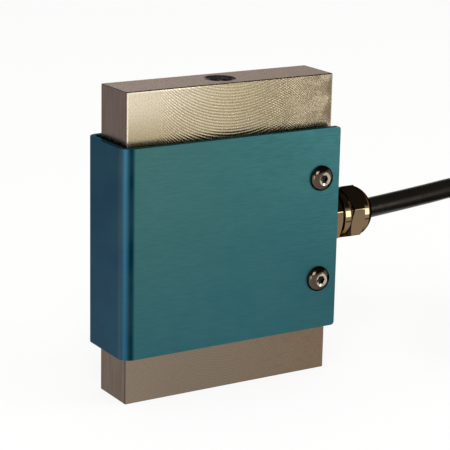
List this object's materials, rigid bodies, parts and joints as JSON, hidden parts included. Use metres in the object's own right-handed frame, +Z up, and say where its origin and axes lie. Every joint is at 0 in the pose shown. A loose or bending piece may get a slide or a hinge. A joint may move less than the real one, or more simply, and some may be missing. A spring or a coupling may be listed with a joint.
{
  "type": "s type load cell",
  "caption": "S-shaped steel load cell block with threaded load holes at both ends, a folded aluminium cover round its middle, and a cable leaving through a gland at one side.",
  "frame": {"origin": "centre of the lower end face of the sensing element, where the lower load thread opens", "axes": "+Z up along the line of force through both load threads; +X along the element's width, towards the cable gland; Y through its thickness, -Y being the front"},
  "size_m": [0.1941, 0.0828, 0.08],
  "materials": {
    "element_steel": "nickel-plated steel, milled faces",
    "cover_teal": "teal anodised sheet, brushed",
    "screw_steel": "bright steel",
    "gland_nickel": "nickel-plated brass",
    "seal_rubber": "black rubber",
    "claw_plastic": "natural nylon",
    "gauge_foil": "amber foil",
    "board_green": "green board",
    "resistor_black": "matt",
    "ribbon_copper": "bare copper foil",
    "core_insulation": "plain insulation",
    "potting_silicone": "clear silicone",
    "cable_jacket": "black, half gloss",
    "sleeve_black": "shrunk sleeve",
    "lead_red": "plain insulation",
    "lead_black": "plain insulation",
    "lead_green": "plain insulation",
    "lead_white": "plain insulation",
    "lead_shield": "tinned braid",
    "tinned_copper": "tinned"
  },
  "bodies": {
    "root": {"sensing_element": "element_steel", "cover": "cover_teal", "cover_screws": "screw_steel", "cover_spacers": "screw_steel", "gland_ring": "seal_rubber", "gland_body": "gland_nickel", "gland_claw": "claw_plastic", "gland_seal": "seal_rubber", "gland_nut": "gland_nickel", "gauge_upper_left": "gauge_foil", "gauge_upper_right": "gauge_foil", "gauge_lower_left": "gauge_foil", "gauge_lower_right": "gauge_foil", "terminal_board": "board_green", "trim_resistors": "resistor_black", "gauge_ribbons": "ribbon_copper", "inner_cores": "core_insulation", "cavity_potting": "potting_silicone", "cable_clamped_end": "cable_jacket", "cable": "cable_jacket", "cable_coil": "cable_jacket", "cable_tail": "cable_jacket", "end_sleeve": "sleeve_black", "lead_red": "lead_red", "lead_black": "lead_black", "lead_shield": "lead_shield", "lead_green": "lead_green", "lead_white": "lead_white", "lead_tips": "tinned_copper"}
  },
  "joints": []
}
